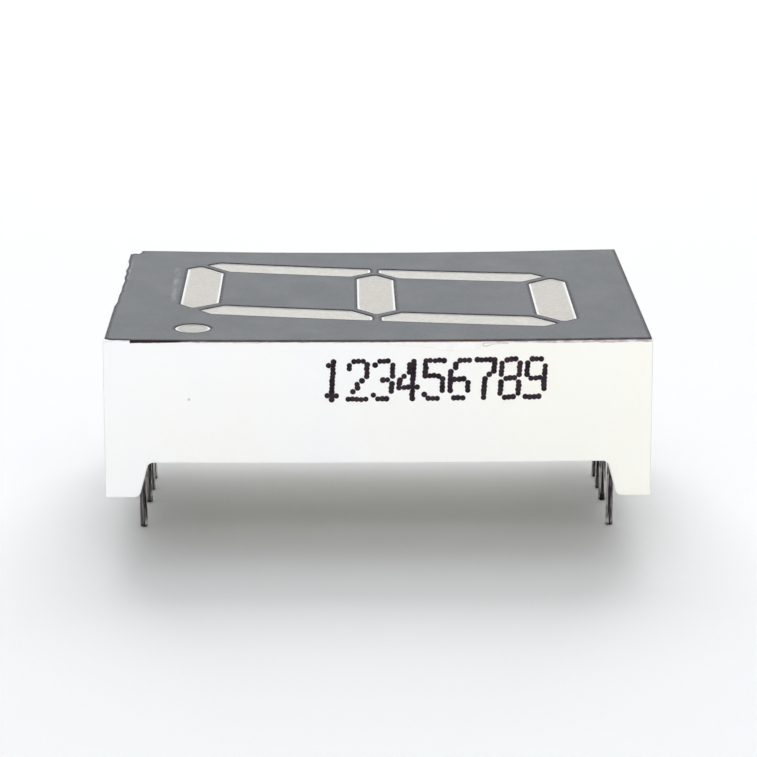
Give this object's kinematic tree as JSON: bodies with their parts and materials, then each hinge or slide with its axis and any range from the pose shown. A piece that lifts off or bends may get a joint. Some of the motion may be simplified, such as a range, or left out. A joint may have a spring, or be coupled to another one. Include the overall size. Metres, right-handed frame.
{
  "type": "seven segment display",
  "caption": "Single-digit LED display: white housing, grey face with slanted milky segments and a decimal point, and rows of thin pins for a circuit board.",
  "frame": {"origin": "middle of the part's outline, in the plane of the pin tips", "axes": "+X up the digit, along the body's length; -Y to the digit's right, where the decimal point is; +Z out of the face"},
  "size_m": [0.0342, 0.0242, 0.0145],
  "materials": {
    "housing_plastic": "satin white moulding",
    "face_ink": "matt grey face layer",
    "window_epoxy": "milky epoxy, satin",
    "board_laminate": "glass-epoxy laminate",
    "seal_epoxy": "cast epoxy, smooth",
    "led_crystal": "sawn crystal",
    "bond_wire": "bright drawn wire",
    "tinned_wire": "hot tinned, soft shine",
    "solder": "reflowed, bright"
  },
  "bodies": {
    "root": {"housing": "housing_plastic", "face_mask": "face_ink", "segment_a": "window_epoxy", "segment_b": "window_epoxy", "segment_c": "window_epoxy", "segment_d": "window_epoxy", "segment_e": "window_epoxy", "segment_f": "window_epoxy", "segment_g": "window_epoxy", "decimal_point": "window_epoxy", "circuit_board": "board_laminate", "back_seal": "seal_epoxy", "led_a1": "led_crystal", "led_a2": "led_crystal", "led_b1": "led_crystal", "led_b2": "led_crystal", "led_c1": "led_crystal", "led_c2": "led_crystal", "led_d1": "led_crystal", "led_d2": "led_crystal", "led_e1": "led_crystal", "led_e2": "led_crystal", "led_f1": "led_crystal", "led_f2": "led_crystal", "led_g1": "led_crystal", "led_g2": "led_crystal", "wire_a1": "bond_wire", "wire_a2": "bond_wire", "wire_b1": "bond_wire", "wire_b2": "bond_wire", "wire_c1": "bond_wire", "wire_c2": "bond_wire", "wire_d1": "bond_wire", "wire_d2": "bond_wire", "wire_e1": "bond_wire", "wire_e2": "bond_wire", "wire_f1": "bond_wire", "wire_f2": "bond_wire", "wire_g1": "bond_wire", "wire_g2": "bond_wire", "pin_1": "tinned_wire", "pin_2": "tinned_wire", "pin_3": "tinned_wire", "pin_4": "tinned_wire", "pin_5": "tinned_wire", "pin_6": "tinned_wire", "pin_7": "tinned_wire", "pin_8": "tinned_wire", "solder_1": "solder", "solder_2": "solder", "solder_3": "solder", "solder_4": "solder", "solder_5": "solder", "solder_6": "solder", "solder_7": "solder", "solder_8": "solder"}
  },
  "joints": []
}
